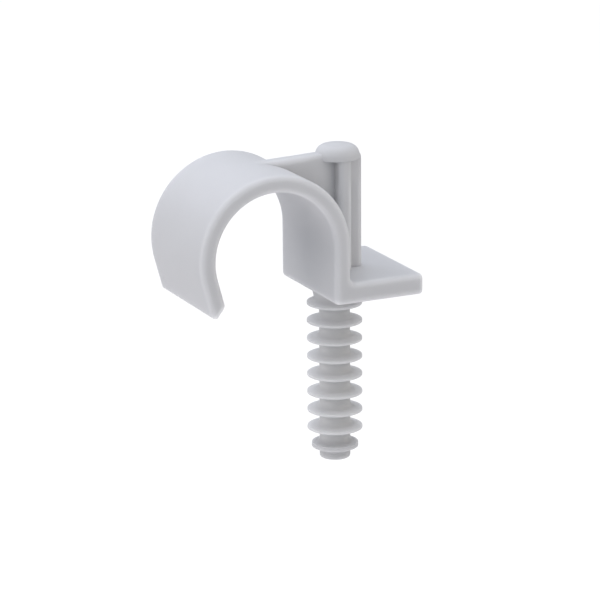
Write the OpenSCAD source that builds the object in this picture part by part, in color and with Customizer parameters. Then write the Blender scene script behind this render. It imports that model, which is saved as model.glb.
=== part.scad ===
// Nail-in pipe clip: a hook for the pipe, a foot against the wall, a web up to a
// hammer head, and a ringed plug that is driven into a drilled hole.
// Frame: the plug's axis is Z, the foot's underside is z = 0, the pipe runs along Y
// and the hook opens towards the wall on the -X side. Sizes are in millimetres.

/* [Pipe hook] */
// radius of the seat that the pipe lies in
bore_r = 11; // [8:0.25:16]
// width of the hook along the pipe
band_w = 22.2; // [14:0.2:32]
// wall of the hook and of the leg
wall = 2.93; // [2.4:0.01:3.6]
// turn of the hook from the leg to its straight lip, in degrees
wrap = 195; // [170:1:205]
// length of the lip on the pipe's side
lip_l = 4.4; // [2:0.1:6]
// how much longer the lip is on its outer side, which bevels its end
lip_bevel = 2.2; // [0.4:0.1:2.6]
// rounding of the lip's two end edges
lip_edge = 0.6; // [0.1:0.05:0.8]

/* [Foot] */
// height of the pipe's axis above the foot's underside
seat_h = 10.05; // [8:0.05:14]
// distance from the leg's seat face to the plug's axis
plug_gap = 5; // [4.5:0.05:7]
// reach of the foot past the plug's axis
foot_l = 11.65; // [8:0.05:20]
// thickness of the foot
foot_t = 3.7; // [2.4:0.05:5]
// rounding of the edges around the foot's free end
foot_end = 0.5; // [0.2:0.05:0.8]
// fillet between the leg and the foot
root_fillet = 1; // [0.5:0.1:2]

/* [Web and post] */
// thickness of the web
web_t = 3.1; // [2.4:0.1:3.6]
// rise of the web's top from the hook's crown to the head, in degrees
web_rise = 2; // [1:0.1:4]
// depth at which the web's top leaves the hook's outer surface
web_set = 0.05; // [0.05:0.05:0.6]
// reach of the web past the plug's axis
web_l = 4.85; // [4.6:0.05:7]
// rounding of the web's upper outer corner
web_top = 1.7; // [1.2:0.1:2.4]
// thickness of the cross rib
rib_t = 2.45; // [2.2:0.05:3.2]
// width of the cross rib along the pipe
rib_w = 7.1; // [5:0.1:7.1]

/* [Hammer head] */
// offset of the head and the cross rib from the plug's axis, away from the hook
post_x = 0.68; // [0:0.02:0.8]
// radius of the head
head_r = 3.8; // [3.8:0.05:5]
// height of the head
head_h = 2.6; // [2.45:0.05:4]
// radius of the dome on the head
head_dome = 5.6; // [5:0.1:9]
// rounding between the dome and the head's side
head_edge = 0.8; // [0.3:0.05:1.2]
// rounding of the head's lower edge
head_rim = 0.15; // [0.05:0.05:0.2]
// depth of the head's underside below the web's top
head_sink = 1.4; // [0.4:0.05:2]

/* [Plug] */
// radius of the plug's core
core_r = 2.7; // [2:0.05:3.1]
// radius of the rings
ring_r = 4.85; // [4.6:0.05:6]
// radius of the last ring
end_ring_r = 4.1; // [3.8:0.05:4.8]
// number of rings
ring_count = 9; // [3:1:12]
// distance from ring to ring
ring_pitch = 3.24; // [2.8:0.02:5]
// depth of the first ring below the foot
ring_first = 2.6; // [2.55:0.05:4]
// thickness of a ring at its rim
rim_t = 0.35; // [0.2:0.05:0.6]
// thickness of a ring where its faces would meet the core
ring_t = 1.3; // [0.8:0.05:1.4]
// fillet of the rings on the core and on the collar
ring_fillet = 0.9; // [0.2:0.05:1]
// radius of the collar at the foot
collar_r = 3.95; // [3.6:0.05:4.3]
// radius of the collar at the first ring
collar_end_r = 3.45; // [3.2:0.05:3.5]
// length of the tip below the last ring
tip_l = 2.35; // [1.4:0.05:5]
// rounding of the tip's edge
tip_edge = 0.35; // [0.1:0.05:0.8]

/* [Edges] */
// rounding of the edges of the hook, the leg, the foot, the web and the rib
edge = 0.95; // [0.3:0.05:1.1]

/* [Hidden] */
$fn = 96;
plastic = [0.76, 0.77, 0.8];
leg_x = -plug_gap;
leg_out_x = leg_x + wall;
seat_x = leg_x - bore_r;
mid_r = bore_r + wall / 2;
web_up = [-sin(web_rise), cos(web_rise)];
web_from = [seat_x, seat_h] + (bore_r + wall - web_set) * web_up;
web_join = post_x + rib_t / 4;
web_turn = [web_l - web_top, web_z(web_l - web_top) - web_top];
web_end_h = web_turn.y - foot_t / 2;
foot_len = foot_l - leg_x;
web_len = web_l - web_from.x;
head_z = web_z(post_x) - head_sink;
dome_mid = [0, head_h - head_dome];
head_side = dome_mid.y + sqrt(pow(head_dome - head_edge, 2) - pow(head_r - head_edge, 2));
head_turn = [head_r - head_edge, head_side];
collar_slope = (collar_r - collar_end_r) / (ring_first - ring_half(collar_end_r));
groove_r = ring_r + ring_pitch;
ring_end = -ring_first - (2 * ring_count - 1) * ring_pitch / 2;
plug_l = ring_first + (ring_count - 1) * ring_pitch + tip_l;

function unit(v) = v / norm(v);

// height of the web's sloping top at x
function web_z(x) = web_from.y + (x - web_from.x) * tan(web_rise);

// cosine of the corner at b between its neighbours a and c
function turn(a, b, c) = unit(a - b) * unit(c - b);

// distance from the corner to where its rounding starts
function setback(a, b, c, r) = r * sqrt((1 + turn(a, b, c)) / (1 - turn(a, b, c)));

// centre of the corner's rounding
function centre(a, b, c, r) = b + unit(unit(a - b) + unit(c - b)) * r * sqrt(2 / (1 - turn(a, b, c)));

// half of a ring's thickness at radius r: the faces run straight from the core to the rim
function ring_half(r) = (ring_t - (ring_t - rim_t) * (r - core_r) / (ring_r - core_r)) / 2;

// convex polygon with a rounding at each corner: the polygon cut off at its corners, and a disc in each
module soft_polygon(points, radii) {
    n = len(points);
    polygon([
        for (i = [0 : n - 1])
            let (a = points[(i + n - 1) % n], b = points[i], c = points[(i + 1) % n])
            let (s = setback(a, b, c, radii[i]))
            each [b + unit(a - b) * s, b + unit(c - b) * s]
    ]);
    for (i = [0 : n - 1])
        translate(centre(points[(i + n - 1) % n], points[i], points[(i + 1) % n], radii[i]))
            circle(radii[i]);
}

// rectangle from the origin, with one rounding for the corners at x = 0 and one for the others
module soft_rect(size, near, far) {
    soft_polygon([[0, 0], [size.x, 0], size, [0, size.y]], [near, far, far, near]);
}

// right half of an upright section, with one rounding for its lower corner and one for its upper one
module soft_half(w, h, lower, upper) {
    intersection() {
        soft_polygon([[-w, 0], [w, 0], [w, h], [-w, h]], [lower, lower, upper, upper]);
        square([w, h]);
    }
}

// bar along X from the origin: its long edges and its near end are rounded with one radius and its
// far end with another, by two crossed slabs and a round-ended rod in each long edge
module soft_bar(size, r, far) {
    translate([0, 0, r])
        linear_extrude(size.z - 2 * r)
            soft_rect([size.x, size.y], r, far);
    translate([0, size.y - r, 0])
        side_view()
            linear_extrude(size.y - 2 * r)
                soft_rect([size.x, size.z], r, far);
    for (y = [r, size.y - r], z = [r, size.z - r])
        translate([0, y, z])
            rotate([0, 90, 0])
                rotate_extrude()
                    soft_half(r, size.x, r, far);
}

// section of the hook and the leg: the wall along X from the seat outwards, the width along Y
module band_section() {
    translate([0, -band_w / 2])
        soft_rect([wall, band_w], edge, edge);
}

// section of the web's edge strip: the depth along X from inside to the edge, the thickness along Y
module strip_section() {
    translate([0, -web_t / 2])
        soft_half(web_top, web_t, edge, edge);
}

// drawing plane of the side view: X stays, the drawing's Y is Z
module side_view() {
    rotate([90, 0, 0])
        children();
}

// drawing plane of the end view: the drawing's X is Y, its Y is Z
module end_view() {
    rotate([90, 0, 90])
        children();
}

// frame at the pipe's axis, in the side view
module at_seat() {
    translate([seat_x, 0, seat_h])
        side_view()
            children();
}

// round part of the hook, from the leg over the crown
module hook() {
    at_seat()
        rotate_extrude(angle = wrap)
            translate([bore_r, 0])
                band_section();
}

// straight lip that leaves the hook along its tangent and ends in a bevel
module lip() {
    lip_out = lip_l + lip_bevel;
    at_seat()
        rotate([0, 0, wrap])
            translate([bore_r, 0, 0])
                intersection() {
                    rotate([-90, 0, 0])
                        linear_extrude(lip_out)
                            band_section();
                    linear_extrude(band_w, center = true)
                        soft_polygon(
                            [[0, -wall], [wall, -wall], [wall, lip_out], [0, lip_l]],
                            [lip_edge, lip_edge, lip_edge, lip_edge]
                        );
                }
}

// leg between the foot and the hook
module leg() {
    translate([leg_x, 0, foot_t / 2])
        linear_extrude(seat_h - foot_t / 2)
            band_section();
}

// foot plate with all its edges rounded, less so around its free end
module foot() {
    translate([leg_x, -band_w / 2, 0])
        soft_bar([foot_len, band_w, foot_t], edge, foot_end);
}

// fillet in the corner of the leg and the foot, with the same rounded edges
module root() {
    intersection() {
        translate([leg_out_x + root_fillet, 0, foot_t + root_fillet])
            side_view()
                rotate([0, 0, 180])
                    rotate_extrude(angle = 90)
                        translate([root_fillet, -band_w / 2])
                            soft_rect([wall + foot_t, band_w], edge, edge);
        translate([leg_out_x - wall / 2, -band_w / 2, foot_t / 2])
            cube([wall / 2 + root_fillet, band_w, foot_t / 2 + root_fillet]);
    }
}

// side view of the web's sloping part, from the middle of the hook's wall into the post
module web_side() {
    difference() {
        polygon([[web_from.x, foot_t / 2], [web_join, foot_t / 2], [web_join, web_z(web_join)], web_from]);
        translate([seat_x, seat_h])
            circle(mid_r);
        translate([seat_x, 0])
            square([mid_r, seat_h]);
    }
}

// sloping part of the web, rounded along its top
module web_slope() {
    intersection() {
        side_view()
            linear_extrude(web_t, center = true)
                web_side();
        translate([web_from.x, 0, web_from.y])
            rotate([0, -web_rise, 0])
                translate([-wall, -web_t / 2, -web_from.y])
                    end_view()
                        linear_extrude(web_len + 2 * wall)
                            soft_rect([web_t, web_from.y], edge, edge);
    }
}

// end of the web, rounded along its top in the head, around its outer corner and down to the foot
module web_end() {
    translate([web_turn.x, 0, web_turn.y]) {
        translate([post_x - web_turn.x, -web_t / 2, -web_end_h])
            end_view()
                linear_extrude(web_turn.x - post_x)
                    soft_rect([web_t, web_end_h + web_top], edge, edge);
        side_view()
            rotate_extrude(angle = 90)
                strip_section();
        translate([0, 0, -web_end_h])
            linear_extrude(web_end_h)
                strip_section();
    }
}

// web in the middle of the clip
module web() {
    web_slope();
    web_end();
}

// cross rib that stiffens the post under the head
module rib() {
    translate([post_x - rib_t / 2, -rib_w / 2, foot_t / 2])
        linear_extrude(head_z + head_side - foot_t / 2)
            soft_rect([rib_t, rib_w], edge, edge);
}

// half section of the head: its side with a rounding at the top, and the dome that meets that rounding
module head_section() {
    soft_half(head_r, head_side + head_edge, head_rim, head_edge);
    intersection() {
        translate(dome_mid)
            circle(head_dome);
        polygon([[0, head_side], head_turn, 2 * head_turn - dome_mid, [0, 2 * head_dome]]);
    }
}

// round head that takes the hammer
module head() {
    translate([post_x, 0, head_z])
        rotate_extrude()
            head_section();
}

// space around the collar, between the foot and the first ring
module collar_space() {
    soft_polygon(
        [
            [collar_r + collar_slope * foot_t / 2, foot_t / 2],
            [collar_end_r, -ring_first + ring_half(collar_end_r)],
            [groove_r, -ring_first + ring_half(groove_r)],
            [groove_r, foot_t / 2]
        ],
        [ring_fillet, ring_fillet, ring_fillet, ring_fillet]
    );
}

// groove between two rings, drawn about the middle of its height
module groove() {
    root_h = ring_pitch / 2 - ring_half(core_r);
    open_h = ring_pitch / 2 - ring_half(groove_r);
    soft_polygon(
        [[core_r, -root_h], [groove_r, -open_h], [groove_r, open_h], [core_r, root_h]],
        [ring_fillet, ring_fillet, ring_fillet, ring_fillet]
    );
}

// half section of the plug: a bar with the grooves cut into it, and the core with its rounded tip
module plug_section() {
    difference() {
        translate([0, ring_end])
            square([ring_r, foot_t / 2 - ring_end]);
        collar_space();
        for (i = [1 : ring_count])
            translate([0, -ring_first - (2 * i - 1) * ring_pitch / 2])
                groove();
        translate([end_ring_r, ring_end])
            square([ring_r, ring_pitch]);
    }
    translate([0, -plug_l])
        soft_half(core_r, plug_l + foot_t / 2, tip_edge, tip_edge);
}

// ringed plug under the foot
module plug() {
    rotate_extrude()
        plug_section();
}

// the whole clip is one moulding
module pipe_clip() {
    color(plastic)
        union() {
            hook();
            lip();
            leg();
            foot();
            root();
            web();
            rib();
            head();
            plug();
        }
}

pipe_clip();
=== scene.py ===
# %% [markdown]
# A nail-in pipe clip: a wide hook that a pipe snaps into, a foot that lies on the wall, a ribbed post
# with a head to hammer on, and a ringed plug that grips the drilled hole. The real one is a single
# moulding in light grey plastic, so its shape comes from the CAD model, all but a fuller skin for the
# head. This lesson gives it its camera, its light and its finish. First the imported model is loaded as
# a frame that stays fixed, and its box is kept; its top sets the height of the head.

# %% Load the moulding
import math

import bpy
from mathutils import Matrix, Vector


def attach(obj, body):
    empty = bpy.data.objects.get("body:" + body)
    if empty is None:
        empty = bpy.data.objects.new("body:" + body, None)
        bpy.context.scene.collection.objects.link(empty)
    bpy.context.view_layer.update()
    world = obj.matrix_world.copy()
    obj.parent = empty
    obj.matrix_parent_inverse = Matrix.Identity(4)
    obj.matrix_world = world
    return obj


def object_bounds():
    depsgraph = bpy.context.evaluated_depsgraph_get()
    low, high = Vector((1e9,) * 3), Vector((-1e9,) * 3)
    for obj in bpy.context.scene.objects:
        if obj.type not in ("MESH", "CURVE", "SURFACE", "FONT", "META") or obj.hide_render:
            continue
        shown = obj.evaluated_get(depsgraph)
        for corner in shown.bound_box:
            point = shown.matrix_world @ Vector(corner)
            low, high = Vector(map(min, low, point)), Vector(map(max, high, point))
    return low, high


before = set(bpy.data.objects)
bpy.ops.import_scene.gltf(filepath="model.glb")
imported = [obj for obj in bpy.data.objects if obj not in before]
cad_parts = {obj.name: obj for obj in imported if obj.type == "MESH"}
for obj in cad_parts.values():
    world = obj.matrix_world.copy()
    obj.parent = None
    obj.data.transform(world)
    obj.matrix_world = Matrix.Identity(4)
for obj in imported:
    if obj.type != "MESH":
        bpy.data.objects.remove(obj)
cad_low, cad_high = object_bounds()
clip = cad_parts["pipe_clip"]
scene = bpy.context.scene
MM = 0.001
print("box in mm:", [round(side / MM, 2) for side in cad_high - cad_low])
print("faces:", len(clip.data.polygons))

# %% [markdown]
# The camera stands in front of the clip, a little to the left and above, with a long lens. It could
# be aimed with a constraint, but a matrix made of its own three directions also holds the slight
# tilt of the picture, so the directions are worked out from the turn, the height and the tilt.

# %% Place the camera
TURN = math.radians(25.34)
LOOK_DOWN = math.radians(16.1)
TILT = math.radians(0.45)
EYE = Vector((-0.22348, -0.45794, 0.14483))
LENS = 182.79
SENSOR = 36.0
NEAREST = 0.01

ahead = Vector(
    (
        math.sin(TURN) * math.cos(LOOK_DOWN),
        math.cos(TURN) * math.cos(LOOK_DOWN),
        -math.sin(LOOK_DOWN),
    )
)
level = Vector((math.cos(TURN), -math.sin(TURN), 0))
down = ahead.cross(level)
right = math.cos(TILT) * level + math.sin(TILT) * down
below = math.cos(TILT) * down - math.sin(TILT) * level
stand = Matrix((right, -below, -ahead)).transposed().to_4x4()
stand.translation = EYE

lens = bpy.data.cameras.new("photo_camera")
lens.lens = LENS
lens.sensor_width = SENSOR
lens.clip_start = NEAREST
camera = bpy.data.objects.new("photo_camera", lens)
camera.matrix_world = stand
scene.collection.objects.link(camera)
scene.camera = camera
print("camera", [round(x, 3) for x in camera.matrix_world.translation], "lens", LENS)

# %% [markdown]
# Shader maths reads best as plain sums. This small class holds one socket of a node tree: sums on it
# add Math nodes, and one method adds any other node, sets it up and joins its sockets. Nodes could
# also be drawn by hand in the editor, but written down they stay readable and can be changed in one
# place. Every finish below is written with it.

# %% A wire that does sums
class Wire:
    """An output socket of a node tree, on which sums add Math nodes."""

    def __init__(self, tree, socket=None):
        self.tree = tree
        self.socket = socket

    def node(self, kind, settings=None, inputs=None, output=0):
        """Adds a node: its settings first, then values or wires for its sockets. Gives one output."""
        made = self.tree.nodes.new(kind)
        for name, value in (settings or {}).items():
            setattr(made, name, value)
        for key, value in (inputs or {}).items():
            socket = self.find(made.inputs, key)
            if isinstance(value, Wire):
                self.tree.links.new(value.socket, socket)
            else:
                socket.default_value = value
        return Wire(self.tree, self.find(made.outputs, output) if made.outputs else None)

    @staticmethod
    def find(sockets, key):
        """A socket by its place, its identifier or its name."""
        if isinstance(key, int):
            return sockets[key]
        return next((s for s in sockets if s.identifier == key), None) or sockets[key]

    def sum(self, operation, *values):
        return self.node("ShaderNodeMath", {"operation": operation}, dict(enumerate(values)))

    def __add__(self, other):
        return self.sum("ADD", self, other)

    __radd__ = __add__

    def __sub__(self, other):
        return self.sum("SUBTRACT", self, other)

    def __rsub__(self, other):
        return self.sum("SUBTRACT", other, self)

    def __mul__(self, other):
        return self.sum("MULTIPLY", self, other)

    __rmul__ = __mul__

    def __abs__(self):
        return self.sum("ABSOLUTE", self)

    def ease(self, low, high):
        """0 below low, 1 above high, and a soft step between."""
        return self.node(
            "ShaderNodeMapRange",
            {"interpolation_type": "SMOOTHSTEP"},
            {"Value": self, "From Min": low, "From Max": high},
        )

    def along(self, axis):
        """One part of a vector: X, Y or Z."""
        return self.node("ShaderNodeSeparateXYZ", {}, {0: self}, axis)


def mix(share, first, second):
    """One colour into another by a share."""
    return share.node(
        "ShaderNodeMix",
        {"data_type": "RGBA"},
        {"Factor_Float": share, "A_Color": first, "B_Color": second},
        "Result_Color",
    )


def new_material(name):
    """An empty material, and a wire to start its nodes from."""
    material = bpy.data.materials.new(name)
    material.use_nodes = True
    material.node_tree.nodes.clear()
    return material, Wire(material.node_tree)


print("wire ready")

# %% [markdown]
# The floor is a plain white sheet, wide enough to fill the picture and far enough below the plug
# that no shadow gathers under it. In the photograph it is pure white, as a sheet lit from behind is.
# It could be lit by lamps of its own, but then it would throw light up at the clip, so it glows a
# little by itself and is left out of the light that reaches the clip. A faint cloudiness keeps its
# paper from being one flat colour.

# %% Lay the floor
FLOOR_DROP = 0.2
FLOOR_REACH = 20.0
FLOOR_GLOW = 0.9
FLOOR_ROUGH = 0.9
CLOUDS = 3.0
PAPER = (0.16, 0.16, 0.16, 1)
PALE_PAPER = (0.18, 0.18, 0.18, 1)
WHITE = (1, 1, 1, 1)
SQUARE = ((-1, -1), (1, -1), (1, 1), (-1, 1))

floor_mesh = bpy.data.meshes.new("floor")
floor_mesh.from_pydata(
    [(x * FLOOR_REACH, y * FLOOR_REACH, -FLOOR_DROP) for x, y in SQUARE], [], [(0, 1, 2, 3)]
)
floor = bpy.data.objects.new("floor", floor_mesh)
scene.collection.objects.link(floor)
floor.visible_diffuse = False
floor.visible_glossy = False
floor.visible_shadow = False

white_sheet, start = new_material("white_sheet")
spot = start.node("ShaderNodeTexCoord", output="Object")
cloud = start.node("ShaderNodeTexNoise", {}, {"Vector": spot, "Scale": CLOUDS, "Detail": 2.0})
sheet = start.node(
    "ShaderNodeBsdfPrincipled",
    {},
    {
        "Base Color": mix(cloud, PAPER, PALE_PAPER),
        "Roughness": FLOOR_ROUGH,
        "Emission Color": WHITE,
        "Emission Strength": FLOOR_GLOW,
    },
)
start.node("ShaderNodeOutputMaterial", {}, {"Surface": sheet})
floor_mesh.materials.append(white_sheet)
print("floor", FLOOR_DROP, "m below the foot")

# %% [markdown]
# The light is a small studio: an even grey glow from all round and five soft boxes, from overhead,
# from the left, from the front right, from high at the back and from below. Many lamps could do
# the same, but a big square lamp a metre off is the plainest soft light: every shade it casts is
# wide. The boxes at the top and the back are a little cool and the one in front is warm, as daylight
# and lamps mix in a real studio.

# %% Light the studio
HEART = Vector((-0.009, 0.0, -0.003))
REACH = 1.0
WIDE = 1.35
PLAIN = 1.0
SURROUNDINGS = (0.46, 0.48, 0.51, 1)


def softbox(name, way, size, glow):
    """A square lamp a metre from the clip in some direction, which glows in a colour of its own."""
    peak = max(glow)
    lamp = bpy.data.lights.new(name, "AREA")
    lamp.size = size
    lamp.energy = peak * math.pi * size * size
    lamp.color = [part / peak for part in glow]
    made = bpy.data.objects.new(name, lamp)
    made.location = HEART + Vector(way).normalized() * REACH
    made.rotation_euler = (HEART - made.location).to_track_quat("-Z", "Y").to_euler()
    scene.collection.objects.link(made)
    return made


studio = bpy.data.worlds.new("studio")
studio.use_nodes = True
studio.node_tree.nodes["Background"].inputs["Color"].default_value = SURROUNDINGS
studio.node_tree.nodes["Background"].inputs["Strength"].default_value = 1.0
scene.world = studio
lamps = [
    softbox("overhead", (0.0, 0.0, 1.0), WIDE, (0.63, 0.65, 0.71)),
    softbox("left", (-1.0, 0.0, 0.15), PLAIN, (1.13, 1.07, 1.05)),
    softbox("front_right", (0.7, -0.7, 0.3), PLAIN, (0.62, 0.53, 0.43)),
    softbox("high_back", (-0.1, 0.7, 0.7), PLAIN, (0.77, 0.79, 0.89)),
    softbox("below", (0.0, 0.0, -1.0), WIDE, (0.9, 0.83, 0.85)),
]
scene.view_settings.view_transform = "Standard"
print("lamps", [lamp.name for lamp in lamps])

# %% [markdown]
# The hammer head is a low round button. Such a piece is turned: half of its outline is drawn beside
# an upright axis and swung right round it. Blender's screw modifier could swing it, but rings of
# points joined by faces are as short to write, and close at the axis in one point above and below.

# %% Swing a half section round
TURNS = 128


def arc(middle, radius, start, end, count):
    """Points of an arc in the half section, as distance from the axis and height."""
    steps = [start + (end - start) * i / count for i in range(count + 1)]
    return [(middle[0] + radius * math.cos(a), middle[1] + radius * math.sin(a)) for a in steps]


def turned(name, section, x, z):
    """A closed solid of revolution about an upright axis, from its half section."""
    inner = section[1:-1]
    last = len(inner) - 1
    points = [(x, 0, z + section[0][1]), (x, 0, z + section[-1][1])]
    for r, h in inner:
        for k in range(TURNS):
            turn = 2 * math.pi * k / TURNS
            points.append((x + r * math.cos(turn), r * math.sin(turn), z + h))

    def at(i, k):
        return 2 + i * TURNS + k % TURNS

    faces = [(0, at(0, k + 1), at(0, k)) for k in range(TURNS)]
    faces += [(1, at(last, k), at(last, k + 1)) for k in range(TURNS)]
    for i in range(last):
        faces += [(at(i, k), at(i, k + 1), at(i + 1, k + 1), at(i + 1, k)) for k in range(TURNS)]
    mesh = bpy.data.meshes.new(name)
    mesh.from_pydata(points, [], faces)
    mesh.polygons.foreach_set("use_smooth", [True] * len(faces))
    made = bpy.data.objects.new(name, mesh)
    scene.collection.objects.link(made)
    return made


print("lathe ready,", TURNS, "points a ring")

# %% [markdown]
# The head has a short upright side, a wide soft shoulder and a top that is almost flat. In the CAD
# model its dome is more pointed, so the head is turned here as a closed skin that fits over the solid
# one and ends at the same height. The half section is three plain curves that meet smoothly: a small
# rim below, the shoulder, and the dome.

# %% Turn the hammer head
HEAD_AXIS = 0.68 * MM
HEAD_HEIGHT = 2.62 * MM
HEAD_RADIUS = 3.84 * MM
HEAD_RIM = 0.15 * MM
SHOULDER = 1.8 * MM
DOME = 12.0 * MM
RIM_STEPS, SHOULDER_STEPS, DOME_STEPS = 6, 24, 16

dome_mid = (0, HEAD_HEIGHT - DOME)
reach = HEAD_RADIUS - SHOULDER
side = dome_mid[1] + math.sqrt((DOME - SHOULDER) ** 2 - reach**2)
meet = math.atan2(side - dome_mid[1], reach)
section = (
    [(0, 0)]
    + arc((HEAD_RADIUS - HEAD_RIM, HEAD_RIM), HEAD_RIM, -math.pi / 2, 0, RIM_STEPS)
    + arc((reach, side), SHOULDER, 0, meet, SHOULDER_STEPS)
    + arc(dome_mid, DOME, meet, math.pi / 2, DOME_STEPS)[1:]
)
hammer_head = turned("hammer_head", section, HEAD_AXIS, cad_high.z - HEAD_HEIGHT)
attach(hammer_head, "root")
print("hammer head", len(hammer_head.data.polygons), "faces, side", round(side / MM, 2), "mm")

# %% [markdown]
# The plastic is a light grey, tough and slightly see-through at its thin edges, with the satin skin
# that a worn mould leaves. A plain grey would look dead, so its colour, gloss and skin vary faintly.
# First come the maps that the melt and the mould leave: cloudy flow marks and a fine grain, both from
# noise in millimetres, so that they keep their size.

# %% Map the flow and the grain
FLOW_SCALE, FLOW_DETAIL = 0.12, 3.0
GRAIN_SCALE, GRAIN_DETAIL = 3.0, 4.0

grey_plastic, start = new_material("grey_plastic")
place = start.node("ShaderNodeTexCoord", output="Object")
place_mm = start.node("ShaderNodeVectorMath", {"operation": "SCALE"}, {0: place, "Scale": 1 / MM})
flow = start.node(
    "ShaderNodeTexNoise", {}, {"Vector": place_mm, "Scale": FLOW_SCALE, "Detail": FLOW_DETAIL}
)
skin = start.node(
    "ShaderNodeTexNoise", {}, {"Vector": place_mm, "Scale": GRAIN_SCALE, "Detail": GRAIN_DETAIL}
)
print("flow marks of", round(1 / FLOW_SCALE, 1), "mm and grain of", round(1 / GRAIN_SCALE, 2), "mm")

# %% [markdown]
# Some places on the clip are treated apart: the upper side of the foot and the tip of the plug, which
# get painted shade, the surroundings of the head, and the nook between web and rib under it, where
# shade is painted darker. Each could be painted by hand, but a soft step along an axis or away from a
# point says just as well where it lies. Each pair of numbers is where such a step starts and ends, in
# millimetres, or in slope for a facing.

# %% Find the places
FOOT_LEVEL = (-1.0, 0.5)
FACING_UP = (0.6, 0.95)
LEDGE_TOP = (5.0, 6.0)
TIP_END = (-28.0, -26.5)
HEAD_HEART = (HEAD_AXIS / MM, 0.0, 24.4)
HEAD_ROUND = (4.5, 7.5)
NOOK_LEFT, NOOK_RIGHT = (-3.4, -0.6), (-0.6, -0.1)
NOOK_DEPTH, NOOK_TOP = (2.7, 3.4), (22.6, 23.0)

across = place_mm.along("X")
depth = abs(place_mm.along("Y"))
height = place_mm.along("Z")
slope = start.node("ShaderNodeNewGeometry", output="Normal").along("Z")
above_foot = height.ease(*FOOT_LEVEL)
ledge = slope.ease(*FACING_UP) * above_foot * (1 - height.ease(*LEDGE_TOP))
tip = 1 - height.ease(*TIP_END)
from_head = start.node(
    "ShaderNodeVectorMath", {"operation": "DISTANCE"}, {0: place_mm, 1: HEAD_HEART}, "Value"
)
near_head = 1 - from_head.ease(*HEAD_ROUND)
nook = across.ease(*NOOK_LEFT) * (1 - across.ease(*NOOK_RIGHT))
nook = nook * (1 - depth.ease(*NOOK_DEPTH)) * (1 - height.ease(*NOOK_TOP))
print("places: foot, tip, head and nook")

# %% [markdown]
# Corners are painted darker, as painted shade, and thin edges are painted paler, as a painted
# highlight.
# Both could be masked by hand, but rays that feel for other faces find them by themselves: sent
# outwards they are stopped in a corner, and sent inwards they soon leave the wall again at an edge. The
# plug, which is made of grooves and edges only, is left plain.

# %% Feel for corners and edges
CORNER_REACH = 10.0 * MM
EDGE_REACH = 0.7 * MM
RAYS = 8
THICK_WALL = (0.8, 0.98)
NOT_UNDER = (0.0, 0.5)
FOOT_END = (2.0, 7.0)
# Strength of the painted shade in corners, in the nook under the head and on the foot's upper side.
CORNER_SHADE, NOOK_SHADE, LEDGE_SHADE = 0.15, 0.4, 0.09

open_sky = start.node(
    "ShaderNodeAmbientOcclusion", {"samples": RAYS}, {"Distance": CORNER_REACH}, "AO"
)
thick = start.node(
    "ShaderNodeAmbientOcclusion",
    {"samples": RAYS, "inside": True, "only_local": True},
    {"Distance": EDGE_REACH},
    "AO",
)
# Painted shade: the colour darkens where outward rays are stopped, most in the nook under the head, and
# on the foot's upper side towards its outer end.
closed = (1 - open_sky) * above_foot
shade_strength = CORNER_SHADE * (1 - near_head) * (1 - ledge) + NOOK_SHADE * near_head * nook
corner = closed * shade_strength + LEDGE_SHADE * ledge * across.ease(*FOOT_END)
under_head = near_head * (1 - slope.ease(*NOT_UNDER))
# Painted highlight: edges where inward rays soon leave the wall are made paler; the same mask makes
# them smoother, as wear.
edge_highlight_and_wear = (1 - thick.ease(*THICK_WALL)) * above_foot * (1 - under_head)
print("corners felt for over", CORNER_REACH / MM, "mm and edges over", EDGE_REACH / MM, "mm")

# %% [markdown]
# Then the maps are mixed. The corners and the tip go darker as painted shade, the edges paler as a
# painted highlight and smoother as from wear, and the grain is a bump of a few thousandths of a
# millimetre.

# %% Mix the colour, the gloss and the grain
LIGHT_GREY = (0.66, 0.66, 0.67, 1)
PALE_GREY = (0.69, 0.69, 0.70, 1)
PLUG_GREY = (0.668, 0.667, 0.668, 1)
PLUG_PALE = (0.698, 0.697, 0.698, 1)
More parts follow.
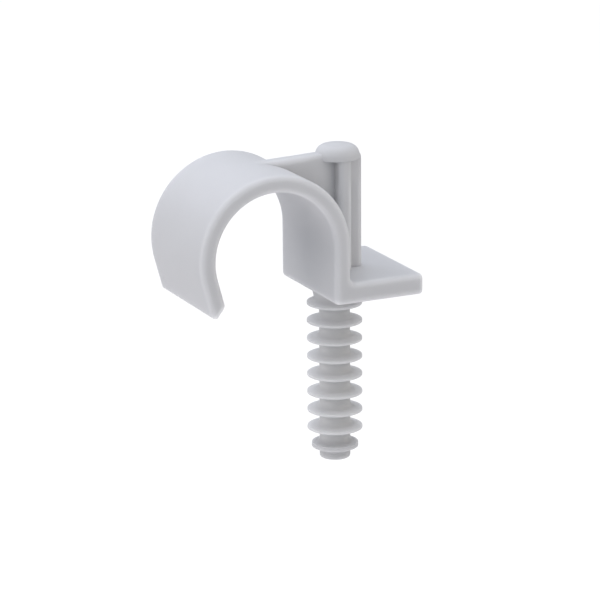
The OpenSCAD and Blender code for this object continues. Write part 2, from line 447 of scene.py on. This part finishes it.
# The darkest grey and the tip's grey are painted shade, the palest a painted highlight on edges.
SHADE_GREY = (0.15, 0.15, 0.153, 1)
EDGE_HIGHLIGHT_GREY = (0.82, 0.82, 0.83, 1)
TIP_SHADE_GREY = (0.57, 0.57, 0.575, 1)
ROUGH, ROUGH_GRAIN, ROUGH_RUBBED = 0.46, 0.08, 0.06
BUMP, BUMP_HEIGHT = 0.08, 0.03 * MM

body_tone = mix(flow, LIGHT_GREY, PALE_GREY)
tone = mix(above_foot, mix(flow, PLUG_GREY, PLUG_PALE), body_tone)
# Painted shade: the tip of the plug is darker.
tone = mix(tip, tone, TIP_SHADE_GREY)
# Painted shade in the corners, the nook and on the foot's upper side.
tone = mix(corner, tone, SHADE_GREY)
# Painted highlight on the edges.
tone = mix(edge_highlight_and_wear, tone, EDGE_HIGHLIGHT_GREY)
gloss = ROUGH + ROUGH_GRAIN * skin - ROUGH_RUBBED * edge_highlight_and_wear
grain = start.node(
    "ShaderNodeBump", {}, {"Strength": BUMP, "Distance": BUMP_HEIGHT, "Height": skin}
)
finish = {"Base Color": tone, "Roughness": gloss, "Normal": grain}
print("finish:", list(finish))

# %% [markdown]
# Light goes a little way into this plastic, which brightens its rims and rounds. Mixing a pale colour
# along the edges could hint at that, but letting the light wander is truer. It can't cross from the
# solid into the skin of the head, though, which would leave a dark seam, so round the head a second
# shader takes over that keeps the light at the surface.

# %% Make the plastic
BLEED = 2.0 * MM

soft = start.node(
    "ShaderNodeBsdfPrincipled",
    {"subsurface_method": "RANDOM_WALK"},
    {
        **finish,
        "Subsurface Weight": 1.0,
        "Subsurface Radius": (1.0, 1.0, 1.0),
        "Subsurface Scale": BLEED,
    },
)
firm = start.node("ShaderNodeBsdfPrincipled", {}, finish)
surface = start.node("ShaderNodeMixShader", {}, {0: near_head, 1: soft, 2: firm})
start.node("ShaderNodeOutputMaterial", {}, {"Surface": surface})
for piece in (clip, hammer_head):
    piece.data.materials.clear()
    piece.data.materials.append(grey_plastic)
print("plastic on", clip.name, "and", hammer_head.name)
